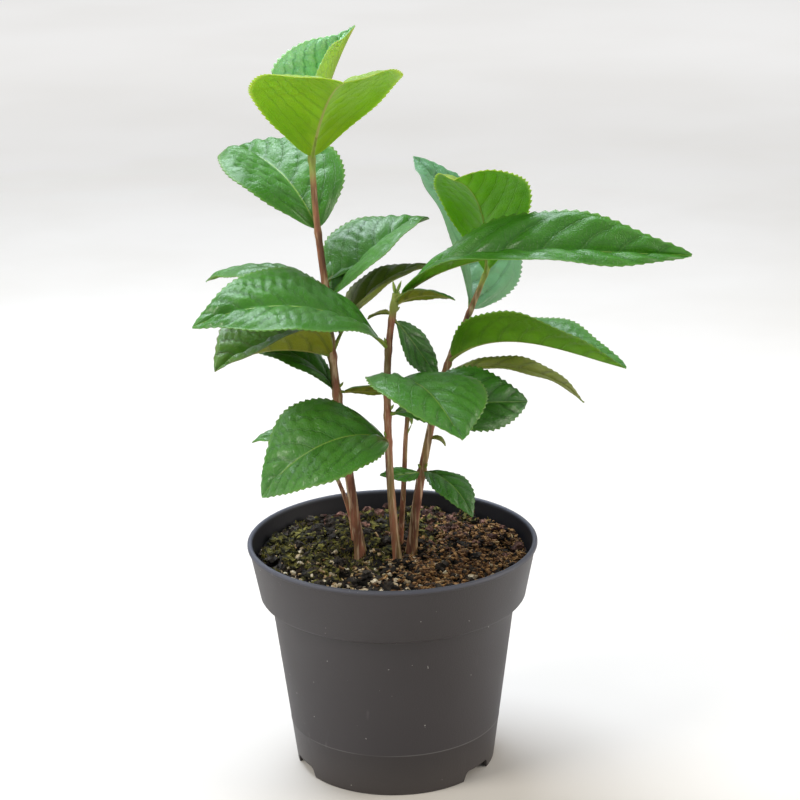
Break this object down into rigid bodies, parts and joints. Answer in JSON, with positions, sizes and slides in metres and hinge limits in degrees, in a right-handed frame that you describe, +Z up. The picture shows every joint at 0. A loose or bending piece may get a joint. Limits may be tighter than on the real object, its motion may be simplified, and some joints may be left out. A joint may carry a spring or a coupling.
{
  "type": "potted tea bush",
  "caption": "Young tea bush with slender reddish stems and glossy toothed leaves, standing in a round dark nursery pot filled with soil.",
  "frame": {"origin": "centre of the pot's flat underside", "axes": "+Z up, +X to the right and -Y towards the front, the side that the front leaves face"},
  "size_m": [0.1934, 0.1377, 0.3025],
  "materials": {
    "pot": "satin moulded plastic, dark charcoal, lightly scuffed",
    "soil": "moist peat with moss, bark crumbs and pale grains",
    "bark": "thin reddish brown bark with pale lengthwise streaks",
    "leaf": "glossy dark green leaf with sunken veins and a toothed edge",
    "young_leaf": "bright yellow-green young leaf, softly glossy"
  },
  "bodies": {
    "root": {"pot": "pot", "soil": "soil", "stem_left": "bark", "stem_left_thin": "bark", "stem_middle": "bark", "stem_middle_thin": "bark", "stem_right": "bark", "bough_right": "bark", "leaves_left_top": "young_leaf", "leaves_left_neck": "leaf", "leaves_left_upper": "leaf", "leaves_left_middle": "leaf", "leaves_left_low": "leaf", "leaves_left_side": "leaf", "leaves_middle_low": "leaf", "leaves_middle_middle": "leaf", "leaves_middle_upper": "leaf", "leaves_middle_top": "leaf", "leaves_middle_thin_top": "leaf", "leaves_right_foot": "leaf", "leaves_right_low": "leaf", "leaves_right_middle": "leaf", "leaves_right_upper": "leaf", "leaves_right_top": "young_leaf"}
  },
  "joints": []
}
